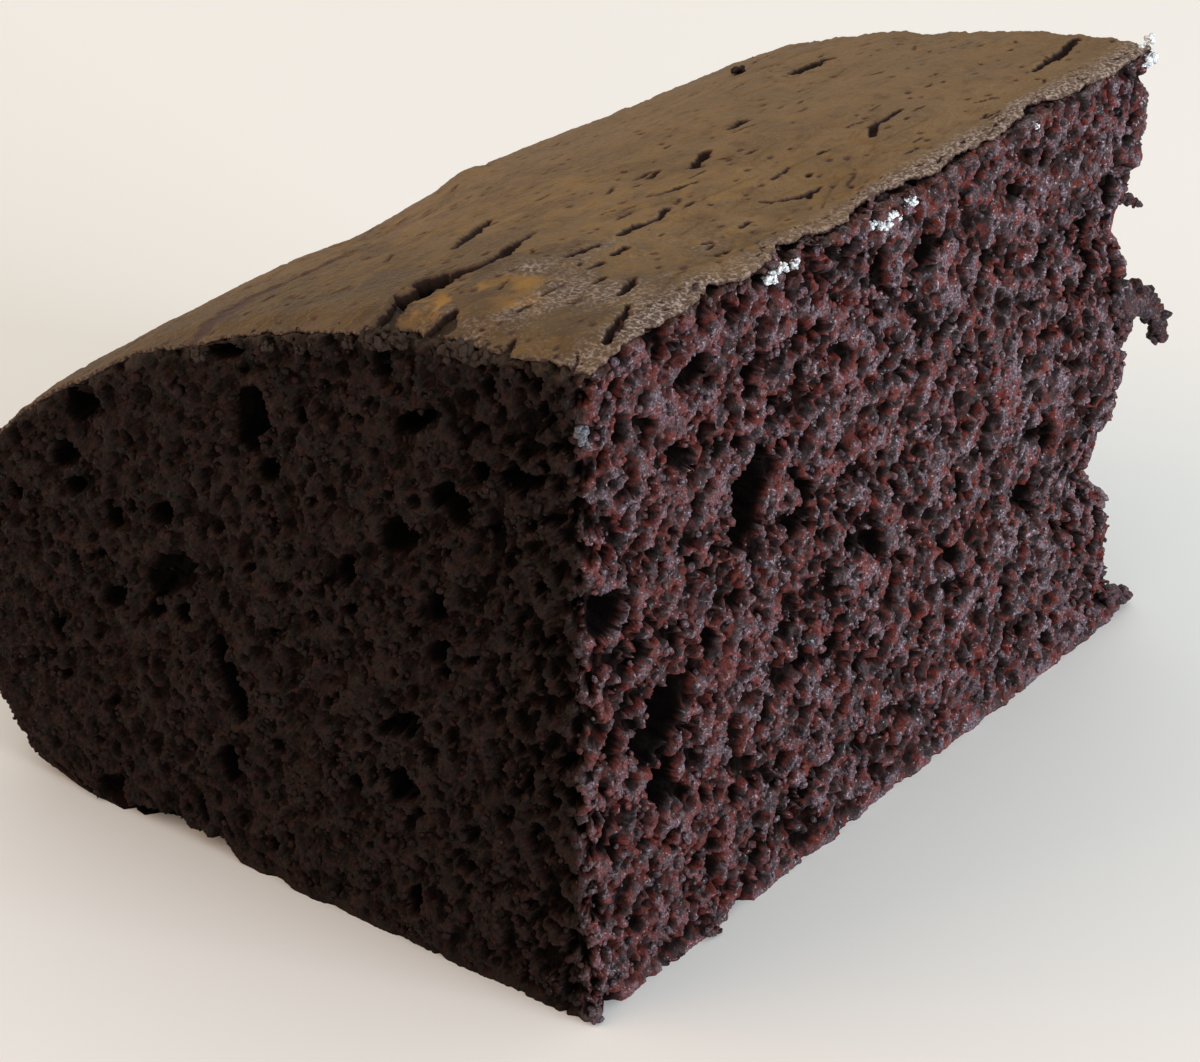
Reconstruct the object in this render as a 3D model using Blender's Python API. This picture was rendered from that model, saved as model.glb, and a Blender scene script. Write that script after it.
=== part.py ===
"""A thick square of devil's food cake, cut from the edge of a tin.

Axes: +X is the inner cut face, -X the side that stood against the tin, -Y the
front cut face, +Y the torn end, +Z up. The origin is under the middle of the
piece, on the surface that it stands on. Lengths are in metres.
"""

import bmesh
import bpy
import numpy as np

# Driving dimensions of the piece.
WIDTH = 0.052  # X, from the inner cut to the widest line of the tin side
LENGTH = 0.0635  # Y, from the front cut to the line that the tear falls back from
HEIGHT = 0.0450  # Z, at the inner cut, where the dome is highest
TIN_SIDE_HEIGHT = 0.019  # where the dome meets the side that stood in the tin
DOME_POWER = 1.68  # exponent of the superellipse that the dome follows
DOME_SINK = 0.0008  # how much lower the dome is at the torn end
TIN_DRAFT = 0.0014  # how far the tin side leans out over its height
TIN_FOOT_RADIUS = 0.0070  # round between the tin side and the flat bottom
CRUST_THICKNESS = 0.0009
CRUST_LIP = 0.0004  # how far the crust stands out over the cut and torn crumb
CRUST_UNDERCUT = 0.0001  # height that the underside of the lip climbs
GRID = 26  # faces along each edge of the block

# Swells of the baked top: height, place along X and Y as shares, and reach.
SWELLS = (
    (0.0006, 0.30, 0.16, 0.12),
    (-0.0010, 0.72, 1.00, 0.28),
    (-0.0007, 0.92, 0.58, 0.08),
    (0.0009, 0.92, 0.74, 0.07),
    (0.0006, 0.06, 0.14, 0.14),
    (-0.0006, 0.10, 0.46, 0.09),
    (0.0004, 0.45, 0.66, 0.16),
)

# The torn end: how far its face falls back, then its hollows (depth, share
# along X, height, half-width as a share, half-height). A negative depth is a
# lump that stands out.
TEAR_BACK = 0.0025
TEAR_HOLLOWS = (
    (0.0032, 0.02, 0.0325, 0.22, 0.0024),
    (0.0046, 0.04, 0.0150, 0.20, 0.0034),
    (0.0026, 0.42, 0.0240, 0.16, 0.0060),
    (0.0030, 0.62, 0.0090, 0.20, 0.0040),
    (0.0018, 0.78, 0.0190, 0.14, 0.0050),
    (-0.0030, 0.10, 0.0000, 0.45, 0.0030),
    (-0.0014, 0.30, 0.0400, 0.18, 0.0040),
    (-0.0016, 0.75, 0.0010, 0.20, 0.0040),
)

# Gentle waves that a knife leaves in the two cut faces.
CUT_WAVE = 0.0002
CUT_WAVES_ALONG = 2.0
CUT_WAVES_UP = 3.0

CRUMB_COLOUR = (0.045, 0.020, 0.016, 1.0)
CRUST_COLOUR = (0.150, 0.095, 0.045, 1.0)
SHARP_ANGLE = 40  # degrees between faces that still shade as one round


def clear_scene():
    for obj in list(bpy.data.objects):
        bpy.data.objects.remove(obj)


def material(name, colour, roughness):
    made = bpy.data.materials.new(name)
    made.use_nodes = True
    shader = made.node_tree.nodes["Principled BSDF"]
    shader.inputs["Base Color"].default_value = colour
    shader.inputs["Roughness"].default_value = roughness
    shader.inputs["Metallic"].default_value = 0.0
    return made


def dome_quarter(turn):
    """A quarter of a superellipse. turn runs from 0 at its crown to 1 at its
    foot, and gives the share of the way across and the share of the rise."""
    angle = turn * np.pi / 2
    across = np.sin(angle) ** (2 / DOME_POWER)
    rise = np.maximum(np.cos(angle), 0.0) ** (2 / DOME_POWER)
    return across, rise


def swelling(across, along):
    """Height of the swells and dips of the baked top: a sum of round bells."""
    height = np.zeros_like(across)
    for tall, at_x, at_y, reach in SWELLS:
        away = ((across - at_x) ** 2 + (along - at_y) ** 2) / reach**2
        height += tall * np.exp(-away)
    return height


def top_height(across, rise, along):
    """Height of the crust: the dome, with the swells fading out at its foot."""
    crown = HEIGHT - DOME_SINK * along
    smooth = TIN_SIDE_HEIGHT + (crown - TIN_SIDE_HEIGHT) * rise
    return smooth + swelling(across, along) * np.sqrt(rise)


def split_height(up, top):
    """Turns the block's height into a height on the piece, and says which
    points are crust. All rows but the last two share out the crumb. The next
    is the underside of the crust's lip, and the last is the top."""
    crumb_rows = (GRID - 2) / GRID
    crumb_top = top - CRUST_THICKNESS
    height = np.minimum(up / crumb_rows, 1.0) * crumb_top
    is_crust = up > crumb_rows + 0.5 / GRID
    is_top = up > 1 - 0.5 / GRID
    height = np.where(is_crust, crumb_top + CRUST_UNDERCUT, height)
    return np.where(is_top, top, height), is_crust


def tin_inset(height):
    """How far the tin side stands in from its widest line: the draft, and the
    quarter circle at the foot."""
    draft = TIN_DRAFT * np.clip(1 - height / TIN_SIDE_HEIGHT, 0.0, 1.0)
    below = np.maximum(TIN_FOOT_RADIUS - height, 0.0)
    return draft + TIN_FOOT_RADIUS - np.sqrt(TIN_FOOT_RADIUS**2 - below**2)


def cut_inset(along, up):
    """The waves of a cut face: how far it stands in, from 0 to twice CUT_WAVE."""
    phase = 2 * np.pi * (CUT_WAVES_ALONG * along + CUT_WAVES_UP * up)
    return CUT_WAVE * (1 + np.sin(phase) * np.cos(np.pi * up))


def tear_inset(across, height):
    """How far the torn face stands in from LENGTH: bells set into a plane."""
    inset = np.full_like(across, TEAR_BACK)
    for depth, at_x, at_z, half_width, half_height in TEAR_HOLLOWS:
        away = ((across - at_x) / half_width) ** 2
        away = away + ((height - at_z) / half_height) ** 2
        inset += depth * np.exp(-away)
    return inset


def cake_points(block):
    """Carries points of a unit block to the piece. The block's X is the turn
    of the dome, its Y runs along the piece, and its Z climbs to the crust.
    Insets are blended across the block, so it stays one solid grid."""
    turn, along, up = block.T
    across, rise = dome_quarter(turn)
    top = top_height(across, rise, along)
    height, is_crust = split_height(up, top)
    lip = np.where(is_crust, 0.0, CRUST_LIP)

    # The tin side's outline is read at its own height, at the block's far edge.
    side_height, _ = split_height(up, np.full_like(up, TIN_SIDE_HEIGHT))
    inner = cut_inset(along, up) + lip
    width = WIDTH - tin_inset(side_height)
    from_inner = inner * (1 - across) + width * across

    front = cut_inset(across, up) + lip
    length = LENGTH - tear_inset(across, height) - lip
    from_front = front * (1 - along) + length * along
    return np.stack([-from_inner, from_front, height], axis=1)


def centred(points):
    """The points with the middle of their box over the origin, standing at 0."""
    low, high = points.min(axis=0), points.max(axis=0)
    middle = (low + high) / 2
    middle[2] = low[2]
    return points - middle


def join_flat_bottom(shape):
    """Makes one face of the flat bottom, which the piece rests on."""
    bottom = [f for f in shape.faces if all(c.co.z < 1e-7 for c in f.verts)]
    bmesh.ops.dissolve_faces(shape, faces=bottom)


def make_cake(crumb, crust):
    shape = bmesh.new()
    bmesh.ops.create_cube(shape, size=1.0)
    bmesh.ops.subdivide_edges(
        shape, edges=shape.edges[:], cuts=GRID - 1, use_grid_fill=True
    )
    block = np.array([corner.co for corner in shape.verts]) + 0.5
    block = np.round(block * GRID) / GRID
    crust_from = 0.5 - 2 / GRID
    for face in shape.faces:
        face.material_index = int(face.calc_center_median().z > crust_from)
    for corner, place in zip(shape.verts, centred(cake_points(block))):
        corner.co = place
    # The turn of the dome runs against X, so the block arrives mirrored.
    bmesh.ops.reverse_faces(shape, faces=shape.faces[:])
    join_flat_bottom(shape)

    mesh = bpy.data.meshes.new("cake")
    shape.to_mesh(mesh)
    shape.free()
    mesh.materials.append(crumb)
    mesh.materials.append(crust)
    mesh.shade_smooth()
    mesh.set_sharp_from_angle(angle=np.radians(SHARP_ANGLE))
    cake = bpy.data.objects.new("cake", mesh)
    bpy.context.scene.collection.objects.link(cake)


clear_scene()
make_cake(
    material("crumb", CRUMB_COLOUR, 0.7),
    material("crust", CRUST_COLOUR, 0.5),
)
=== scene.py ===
# %% [markdown]
# # A piece of devil's food cake
#
# The object is one thick square of dark chocolate sheet cake, cut from the
# edge of its tin: a thin cracked crust over a domed top, open moist crumb on
# two cut faces, a torn end, and one baked side that stood against the tin.
# There is no icing and no filling, so everything rests on two finishes, the
# crumb and the crust, and on real relief in the mesh.
#
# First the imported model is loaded. It is the fixed frame: every size and
# place below is worked out from its box.

# %% Load the frame
from itertools import product

import bpy
import numpy as np
from mathutils import Matrix, Vector


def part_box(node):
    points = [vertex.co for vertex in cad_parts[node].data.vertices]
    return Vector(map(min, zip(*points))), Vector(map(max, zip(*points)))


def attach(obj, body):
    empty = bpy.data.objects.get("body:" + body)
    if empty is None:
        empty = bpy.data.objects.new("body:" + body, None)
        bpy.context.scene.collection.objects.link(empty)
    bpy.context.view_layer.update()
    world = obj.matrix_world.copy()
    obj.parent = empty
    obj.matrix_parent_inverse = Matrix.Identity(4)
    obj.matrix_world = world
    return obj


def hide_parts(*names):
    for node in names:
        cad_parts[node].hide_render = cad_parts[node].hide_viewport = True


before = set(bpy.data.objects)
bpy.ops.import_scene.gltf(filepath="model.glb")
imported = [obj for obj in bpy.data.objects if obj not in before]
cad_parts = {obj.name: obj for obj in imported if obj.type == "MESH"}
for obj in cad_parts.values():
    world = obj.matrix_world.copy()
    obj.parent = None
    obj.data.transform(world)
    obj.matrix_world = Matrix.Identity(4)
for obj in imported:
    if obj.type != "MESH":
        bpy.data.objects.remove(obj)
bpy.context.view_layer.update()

MM = 0.001  # the lesson works in millimetres, and meshes are made in metres
low, high = (np.array(corner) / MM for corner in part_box("cake"))
print("the packed cake, in mm:", np.round(low, 2), "to", np.round(high, 2))

# %% [markdown]
# ## Random numbers that stay put
#
# Crumb is random at every scale, yet it has to come out the same each time.
# So nothing is drawn from a random generator point by point. Instead a hash
# turns the whole-number corners of a lattice into numbers, and two patterns
# are built on it: smooth swelling noise, and cells around scattered seeds.
# Both work on whole arrays of points.

# %% Hash, noise and cells
def scramble(corner, seed):
    """Random numbers from 0 to 1 for whole-number lattice corners: each
    coordinate is multiplied by a large odd number, and the bits are mixed."""
    mixed = np.full(corner.shape[:-1], seed * 7919 + 17, np.uint32)
    for axis in range(corner.shape[-1]):
        mixed = (mixed ^ corner[..., axis].astype(np.uint32)) * np.uint32(0x9E3779B1)
        mixed = mixed ^ (mixed >> np.uint32(15))
    mixed = mixed * np.uint32(0x2C1B3C6D)
    mixed = mixed ^ (mixed >> np.uint32(13))
    return mixed.astype(np.float32) / np.float32(2**32)


def noise(points, size, seed):
    """Smooth swell from -1 to 1: random values on a lattice of the given
    spacing, blended between its corners by the ease curve 3t^2 - 2t^3."""
    scaled = np.asarray(points, np.float32) / np.asarray(size, np.float32)
    home = np.floor(scaled)
    ease = scaled - home
    ease = ease * ease * (3 - 2 * ease)
    home = home.astype(np.int64)
    total = np.zeros(scaled.shape[:-1], np.float32)
    for step in product((0, 1), repeat=scaled.shape[-1]):
        share = np.prod(np.where(step, ease, 1 - ease), axis=-1)
        total += share * scramble(home + np.array(step), seed)
    return total * 2 - 1


def layered(points, size, seed, layers=3, fade=0.5):
    """Noise on noise: each layer is half the size and fade times the height."""
    total = sum(
        fade**k * noise(points, np.asarray(size) / 2**k, seed + k)
        for k in range(layers)
    )
    return total / sum(fade**k for k in range(layers))


def cells(points, size, seed):
    """Cells around one scattered seed in each lattice box. Gives the distance
    to the nearest seed and to the second, in sizes, and a random number that
    names the cell."""
    scaled = np.asarray(points, np.float32) / np.asarray(size, np.float32)
    home = np.floor(scaled).astype(np.int64)
    nearest = np.full(scaled.shape[:-1], 9, np.float32)
    second, name = nearest.copy(), nearest.copy()
    for step in product((-1, 0, 1), repeat=scaled.shape[-1]):
        box = home + np.array(step)
        gap = [
            (box[..., axis] - scaled[..., axis] + scramble(box, seed + axis)) ** 2
            for axis in range(scaled.shape[-1])
        ]
        away = np.sqrt(sum(gap))
        closer = away < nearest
        second = np.where(closer, nearest, np.minimum(second, away))
        name = np.where(closer, scramble(box, seed + 7), name)
        nearest = np.where(closer, away, nearest)
    return nearest, second, name


def smooth_step(low_edge, high_edge, value):
    """0 below one edge, 1 above the other, and an ease curve between."""
    share = np.clip((value - low_edge) / (high_edge - low_edge), 0, 1)
    return share * share * (3 - 2 * share)


# %% [markdown]
# ## The outer form
#
# On the real cake the batter rose highest in the middle of the tin and set
# lower at its edge, so a slice across it is a quarter of a superellipse, a
# little flatter than a circle. The two cuts are nearly flat, the torn end is
# hollowed, and the tin side leans out a little and is rounded at its foot. A
# sculpted block could give this too, but a few formulas are shorter, and they
# let each later surface be placed on the same form by two shares: how far a
# point lies across the piece from the inner cut, and how far along it from
# the front.

# %% The dome, the tin side and the torn end
LIP = 0.4  # how far the crust stands out over the crumb
DOME_POWER = 1.68
CROWN = 45.0  # height of the dome at the inner cut
TIN_SIDE = 19.0  # height of the side that stood in the tin
WIDTH = high[0] - low[0]
LENGTH = high[1] - low[1]
TIN_DRAFT, TIN_FOOT = 1.4, 7.0
SLOW_SWELL = 0.35  # waves of the crust, about 6 mm long
KNIFE_DROOP = 0.6  # how far the knife bent the top down at the front cut
DROOP_REACH = 1.7  # how far back from the cut it is bent
DOME_SINK = 0.8  # how much lower the dome is at the torn end

# Swells of the top: height, place across and along as shares, and reach.
SWELLS = (
    (0.6, 0.30, 0.16, 0.12),
    (-1.0, 0.72, 1.00, 0.28),
    (-0.7, 0.92, 0.58, 0.08),
    (0.9, 0.92, 0.74, 0.07),
    (0.6, 0.06, 0.14, 0.14),
    (-0.6, 0.10, 0.46, 0.09),
    (0.4, 0.45, 0.66, 0.16),
    (-0.9, 0.66, 0.36, 0.06),
    (0.6, 0.70, 0.50, 0.05),
    (-0.7, 0.60, 0.68, 0.10),
    (0.3, 0.52, 0.88, 0.06),
    (-0.3, 0.25, 0.95, 0.12),
    (-1.9, 0.78, 0.46, 0.075),
    (0.8, 0.71, 0.55, 0.035),
    (0.3, 0.87, 0.70, 0.05),
    (-1.1, 0.79, 0.93, 0.13),
    (0.25, 0.57, 1.00, 0.06),
    (-0.65, 0.32, 1.00, 0.11),
    (0.22, 0.05, 1.00, 0.08),
    (-0.6, 0.77, 0.03, 0.06),
)
# Hollows of the torn end: depth, share across, height, half-sizes of both.
TEAR_BACK = 2.0
TEAR_HOLLOWS = (
    (3.2, 0.02, 32.5, 0.22, 2.4),
    (4.2, 0.04, 14.2, 0.20, 2.8),
    (-0.8, 0.02, 22.0, 0.12, 3.6),
    (1.1, 0.02, 28.6, 0.12, 1.8),
    (2.6, 0.42, 24.0, 0.16, 6.0),
    (3.0, 0.62, 9.0, 0.20, 4.0),
    (1.8, 0.78, 19.0, 0.14, 5.0),
    (-3.0, 0.10, 0.0, 0.45, 3.0),
    (-1.4, 0.30, 40.0, 0.18, 4.0),
    (-1.6, 0.75, 1.0, 0.20, 4.0),
)


def bells(shapes, first, second, reach_first, reach_second):
    """A sum of round bells: height times exp(-(distance / reach) squared)."""
    total = np.zeros(np.broadcast(first, second).shape)
    for shape in shapes:
        away = ((first - shape[1]) / reach_first(shape)) ** 2
        away = away + ((second - shape[2]) / reach_second(shape)) ** 2
        total = total + shape[0] * np.exp(-away)
    return total


def dome(across, along):
    """Height of the top: tin side + (crown - tin side) * (1 - across^n)^(1/n),
    sinking a little towards the torn end, with swells and slow noise on it,
    and bent down by the knife at the front cut."""
    rise = np.maximum(1 - np.clip(across, 0, 1) ** DOME_POWER, 0) ** (1 / DOME_POWER)
    swell = bells(SWELLS, across, along, lambda s: s[3], lambda s: s[3])
    spot = np.stack(np.broadcast_arrays(across * WIDTH, 0.6 * along * LENGTH), axis=-1)
    swell = swell + SLOW_SWELL * layered(spot, 6.0, 81)
    swell = swell - KNIFE_DROOP * np.exp(-((along * LENGTH / DROOP_REACH) ** 2))
    return TIN_SIDE + (CROWN - DOME_SINK * along - TIN_SIDE) * rise + swell * np.sqrt(rise)


def tin_line(height):
    """Distance of the tin side from the inner cut: full width, less a draft
    that fades with height, less a quarter circle at the foot."""
    draft = TIN_DRAFT * np.clip(1 - height / TIN_SIDE, 0, 1)
    below = np.clip(TIN_FOOT - height, 0, TIN_FOOT)
    return WIDTH - draft - TIN_FOOT + np.sqrt(TIN_FOOT**2 - below**2)


def torn_line(across, height):
    """Distance of the torn end from the front cut: the length, less bells."""
    hollows = bells(TEAR_HOLLOWS, across, height, lambda s: s[3], lambda s: s[4])
    return LENGTH - TEAR_BACK - hollows


print("dome at the crown and at the shoulder:", dome(0.0, 0.0), dome(0.94, 0.5))

# %% [markdown]
# ## Four walls as one band
#
# The front cut, the inner cut, the torn end and the tin side join at crumbly
# corners, so they are one band that runs round the piece. Its first parameter
# is the distance along a rounded outline seen from above, and its second
# climbs from the table to the underside of the crust. Four separate planes
# would be simpler, but their relief would not meet at the corners.

# %% The band round the piece
UNDER_CRUST = 0.32  # how far below the top of the dome the walls end
SHOULDER_RUN = 3.0  # how far the crumb goes in under the crust, in mm
CORNER_ROUNDS = (0.5, 0.7, 0.9, 1.2)  # radii at the front left, front, far right, far left
ARC_POINTS = 17


def rounded_outline(width, length, rounds):
    """A rectangle from the front left corner, round to the right, with an arc
    of its own radius at each corner. Gives its points and distances."""
    corners = ((0, 0), (width, 0), (width, length), (0, length))
    points = []
    for number, ((x, y), radius) in enumerate(zip(corners, rounds)):
        centre = np.array([abs(x - radius), abs(y - radius)])
        start = np.pi + number * np.pi / 2
        turn = start + np.linspace(0, np.pi / 2, ARC_POINTS)
        points.append(centre + radius * np.stack([np.cos(turn), np.sin(turn)], axis=1))
    points = np.concatenate(points + [points[0][:1]])
    start = ARC_POINTS // 2  # the seam is in the middle of the first corner
    points = np.concatenate([points[start:-1], points[: start + 1]])
    steps = np.linalg.norm(np.diff(points, axis=0), axis=1)
    return points, np.concatenate([[0], np.cumsum(steps)])


OUTLINE, OUTLINE_AT = rounded_outline(WIDTH, LENGTH - 2 * LIP, CORNER_ROUNDS)
ROUND_TRIP = OUTLINE_AT[-1]
FRONT_CORNER = WIDTH - 0.5
FAR_CORNER = FRONT_CORNER + LENGTH - 2
TORN_CORNER = FAR_CORNER + WIDTH - 1
TEAR_FADE = 6  # how fast the shape of the tear dies away from its end
TEAR_FULL = 0.985  # share of the way along where the tear has its whole shape


def block_to_piece(across, along, climb):
    """Carries shares of a block to the piece: x blends from the inner cut to
    the tin side, and y is the plain length * along, plus the tear's own
    hollows * along^TEAR_FADE, so that the pores of the cut aren't skewed."""
    climb = np.minimum(climb, 1)
    height = climb * (dome(across, along) - UNDER_CRUST)
    x = high[0] - LIP * (1 - across) - tin_line(climb * TIN_SIDE) * across
    plain_length = LENGTH - 2 * LIP
    tear = torn_line(across, height) - LIP - plain_length
    y = low[1] + LIP + plain_length * along + tear * np.minimum(along / TEAR_FULL, 1) ** TEAR_FADE
    return np.stack([x, y, height], axis=-1)


def band(distance, climb):
    """The smooth band: a point of the outline, turned into shares, climbs from
    0 to 1. Past 1 the outline shrinks and runs in under the crust."""
    distance = np.mod(distance, ROUND_TRIP)
    inward = SHOULDER_RUN * np.maximum(climb - 1, 0)
    shares = []
    for axis in (0, 1):
        half = OUTLINE[:, axis].max() / 2
        line = np.interp(distance, OUTLINE_AT, OUTLINE[:, axis])
        shares.append(0.5 + (line / half - 1) * (1 - inward / half) / 2)
    return block_to_piece(1 - shares[0], shares[1], climb)


print("the band is", round(ROUND_TRIP, 1), "mm round")

# %% [markdown]
# ## Pores
#
# Cake crumb is a foam that has been cut open. Real bubbles could be modelled
# as thousands of spheres and cut out with Booleans, but that would take hours
# and a huge mesh. A depth map does the same job: the walls are unrolled into
# a flat map, and each bubble that reaches the open surface presses its far
# side into it. Bubbles are taken from the outside in, so a bubble behind
# another is opened only if the first one broke into it, as in real crumb.

# %% A depth map of opened bubbles
PORE_CELL = 0.07  # spacing of the map
PORE_MARGIN = 3.0  # map beyond both ends of the band
MAP_HIGH = 47.0
CRUMB_DEEP = 1.0  # thickness of crumb that holds bubbles
BUBBLES = 105000


def bubble_crowd(count, length, tall, deep, seed):
    """Rows of place along, height, depth of the middle, radius, stretch and
    tilt, sorted by how near to the surface each bubble reaches."""
    draw = np.random.default_rng(seed)
    radius = 0.12 + 0.50 * draw.random(count) ** 2.6
    crowd = np.stack(
        [
            draw.random(count) * length,
            draw.random(count) * tall,
            draw.random(count) * (deep + 0.4) - 0.4,
            radius,
            1 + 0.9 * draw.random(count) ** 1.5,
            np.radians(draw.normal(68, 30, count)),
        ],
        axis=1,
    )
    return crowd[np.argsort(crowd[:, 2] - crowd[:, 3])]


def open_bubbles(depth, crowd, cell):
    """Presses each bubble's far side, middle + sqrt(r^2 - distance^2), into
    the map wherever the open surface already lies inside the bubble."""
    for along, tall, middle, radius, stretch, tilt in crowd:
        reach = radius * stretch
        first = max(int((along - reach) / cell), 0)
        last = int((along + reach) / cell) + 2
        floor = max(int((tall - reach) / cell), 0)
        top = int((tall + reach) / cell) + 2
        patch = depth[first:last, floor:top]
        right = np.arange(first, first + patch.shape[0])[:, None] * cell - along
        up = np.arange(floor, floor + patch.shape[1])[None] * cell - tall
        lengthwise = (np.cos(tilt) * right + np.sin(tilt) * up) / stretch
        crosswise = np.cos(tilt) * up - np.sin(tilt) * right
        half = np.sqrt(np.maximum(radius**2 - lengthwise**2 - crosswise**2, 0))
        opens = (half > 0) & (patch >= middle - half) & (patch < middle + half)
        patch[opens] = (middle + half)[opens]
    return depth


def softened(grid):
    """A 1-2-1 blur both ways, which rounds the rims of the pores."""
    for axis in (0, 1):
        grid = (np.roll(grid, 1, axis) + 2 * grid + np.roll(grid, -1, axis)) / 4
    return grid


map_length = ROUND_TRIP + 2 * PORE_MARGIN
pore_map = np.zeros((int(map_length / PORE_CELL), int(MAP_HIGH / PORE_CELL)), np.float32)
open_bubbles(
    pore_map,
    bubble_crowd(BUBBLES, map_length, MAP_HIGH, CRUMB_DEEP, seed=11),
    PORE_CELL,
)
pore_map = softened(pore_map)
print("pore map:", pore_map.shape, "mean depth", round(float(pore_map.mean()), 2), "mm")


def read_map(grid, along, tall, cell):
    """The map's value between its points: blended from the four around it."""
    along = np.clip(along / cell, 0, grid.shape[0] - 1.001)
    tall = np.clip(tall / cell, 0, grid.shape[1] - 1.001)
    column, row = along.astype(np.int32), tall.astype(np.int32)
    right, up = along - column, tall - row
    low_row = grid[column, row] * (1 - right) + grid[column + 1, row] * right
    high_row = grid[column, row + 1] * (1 - right) + grid[column + 1, row + 1] * right
    return low_row * (1 - up) + high_row * up


def pore_depth(distance, height):
    """The pore map on the band. Near the seam the value before the map's first
    column is blended into the value past its last, so that the ends meet."""
    along = np.mod(distance, ROUND_TRIP)
    here = read_map(pore_map, along + PORE_MARGIN, height, PORE_CELL)
    past = read_map(pore_map, along + ROUND_TRIP + PORE_MARGIN, height, PORE_CELL)
    share = smooth_step(0, 0.8 * PORE_MARGIN, along)
    return past * (1 - share) + here * share


# %% [markdown]
# ## The large hollows
#
# Between the fine pores a real crumb has hollows where bubbles ran together
# or a bit of crumb came away with the knife. They give the cut its character,
# so they are placed one by one: each is a leaning ellipse with a ragged edge
# that sinks steeply to a rounded floor.

# %% Hollows placed one by one
# Place round the band, height, half-length, half-width, lean from upright in
# degrees, and depth.
HOLLOWS = (
    (38.6, 37.2, 1.9, 0.7, 55, 2.5),
    (46.5, 36.0, 1.6, 0.8, 77, 2.8),
    (43.6, 35.5, 0.7, 0.65, 0, 2.0),
    (41.9, 32.5, 1.2, 0.95, 16, 2.5),
    (37.2, 29.1, 1.7, 1.1, 52, 2.2),
    (32.8, 25.4, 1.3, 0.8, 16, 2.0),
    (40.1, 25.4, 1.4, 0.7, 15, 2.0),
    (25.7, 33.4, 2.4, 1.5, 14, 3.0),
    (23.9, 37.4, 1.7, 0.45, 75, 2.5),
    (11.0, 29.9, 1.7, 1.3, 60, 2.2),
    (9.1, 25.9, 1.5, 1.1, 44, 1.8),
    (17.2, 24.0, 1.4, 0.9, 54, 2.0),
    (17.7, 19.8, 2.8, 1.4, 57, 1.5),
    (12.7, 22.5, 1.2, 0.6, -12, 1.8),
    (22.2, 14.0, 3.3, 0.8, -19, 3.0),
    (21.2, 7.2, 1.3, 0.9, 24, 2.0),
    (12.3, 16.4, 1.2, 0.7, 57, 1.6),
    (53.2, 28.2, 2.0, 1.6, 40, 3.5),
    (53.6, 19.2, 1.4, 1.0, 12, 1.8),
    (59.0, 18.2, 3.3, 2.0, 34, 5.0),
    (59.0, 13.6, 2.0, 1.0, 10, 3.2),
    (60.2, 35.6, 1.8, 0.6, 100, 2.0),
    (61.9, 40.6, 1.3, 1.1, 30, 2.2),
    (63.4, 21.4, 1.0, 0.8, 70, 2.5),
    (67.6, 29.5, 3.7, 1.9, 22, 4.5),
    (71.0, 24.0, 1.7, 0.5, 29, 1.8),
    (72.9, 26.1, 2.2, 1.0, 30, 3.0),
    (69.0, 13.4, 1.7, 0.7, 23, 1.8),
    (79.0, 21.3, 1.0, 0.9, 10, 2.5),
    (77.1, 14.6, 1.1, 0.9, 65, 2.0),
    (74.5, 5.4, 0.9, 0.7, 20, 1.6),
    (80.8, 40.0, 1.2, 0.6, 30, 2.2),
    (86.1, 39.2, 1.4, 0.6, 30, 2.2),
    (84.3, 25.3, 1.4, 0.8, 90, 2.2),
    (88.5, 33.2, 1.1, 0.8, 38, 2.2),
    (90.4, 29.7, 1.8, 0.6, 56, 2.5),
    (93.1, 35.7, 2.6, 0.65, 50, 3.5),
    (101.0, 34.2, 1.2, 0.8, 90, 2.0),
    (101.2, 20.5, 1.6, 0.8, 92, 2.2),
    (100.4, 16.1, 2.0, 0.7, 100, 2.5),
    (12.6, 0.0, 5.6, 1.3, 90, 2.6),
    (7.0, 1.2, 2.2, 0.9, 60, 1.6),
    (53.6, 0.3, 0.9, 0.9, 0, 1.2),
    (66.9, 0.1, 1.5, 0.8, 90, 0.7),
)
MEDIUM_HOLLOWS = 260


def medium_hollows(count, seed):
    """Rows like the ones above, drawn at random over the cuts, and more of
    them on the inner cut."""
    draw = np.random.default_rng(seed)
    rows = []
    for _ in range(count):
        width = 0.32 + 0.45 * draw.random() ** 2
        place, level = 118 - 116 * draw.random() ** 2.2, draw.uniform(2, 42)
        lean = draw.normal(30, 22)
        rows.append((place, level, width * draw.uniform(1.1, 2.2), width, lean, 2.6 * width))
    return tuple(rows)


ALL_HOLLOWS = HOLLOWS + medium_hollows(MEDIUM_HOLLOWS, 35)


def hollow_depth(distance, height):
    """The deepest of all hollows at a place: depth * (1 - r^2)^0.6, where r is
    the distance from the middle in half-sizes, with noise that tears the edge."""
    ragged = layered(np.stack([distance, height], axis=-1), 1.3, 31)
    deepest = np.zeros(np.shape(distance))
    for place, level, half_long, half_wide, lean, depth in ALL_HOLLOWS:
        near = np.flatnonzero(np.abs(distance[:, 0] - place) < 2 * half_long)
        if not len(near):
            continue
        near = slice(near[0], near[-1] + 1)
        right = distance[near] - place
        up = height[near] - level
        tilt = np.radians(lean)
        lengthwise = (np.sin(tilt) * right + np.cos(tilt) * up) / half_long
        crosswise = (np.cos(tilt) * right - np.sin(tilt) * up) / half_wide
        away = lengthwise**2 + crosswise**2 + 0.6 * ragged[near]
        deepest[near] = np.maximum(deepest[near], depth * np.clip(1 - away, 0, 1) ** 0.6)
    return deepest


print(len(HOLLOWS), "large hollows, up to", max(row[5] for row in HOLLOWS), "mm deep")

# %% [markdown]
# ## The walls
#
# Now the pieces are put together. The band climbs each wall and then turns in
# over the top as a shoulder, so that crumb shows where the crust is chipped.
# Pores and hollows push it inwards, slow noise lets it swell, and last come
# the granules: rounded bumps on the cells of a lattice in space, pushed out
# along the finished surface, so that they also line the pores. A subdivided
# block with Displace modifiers would be alike, but it can't overhang.

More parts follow.
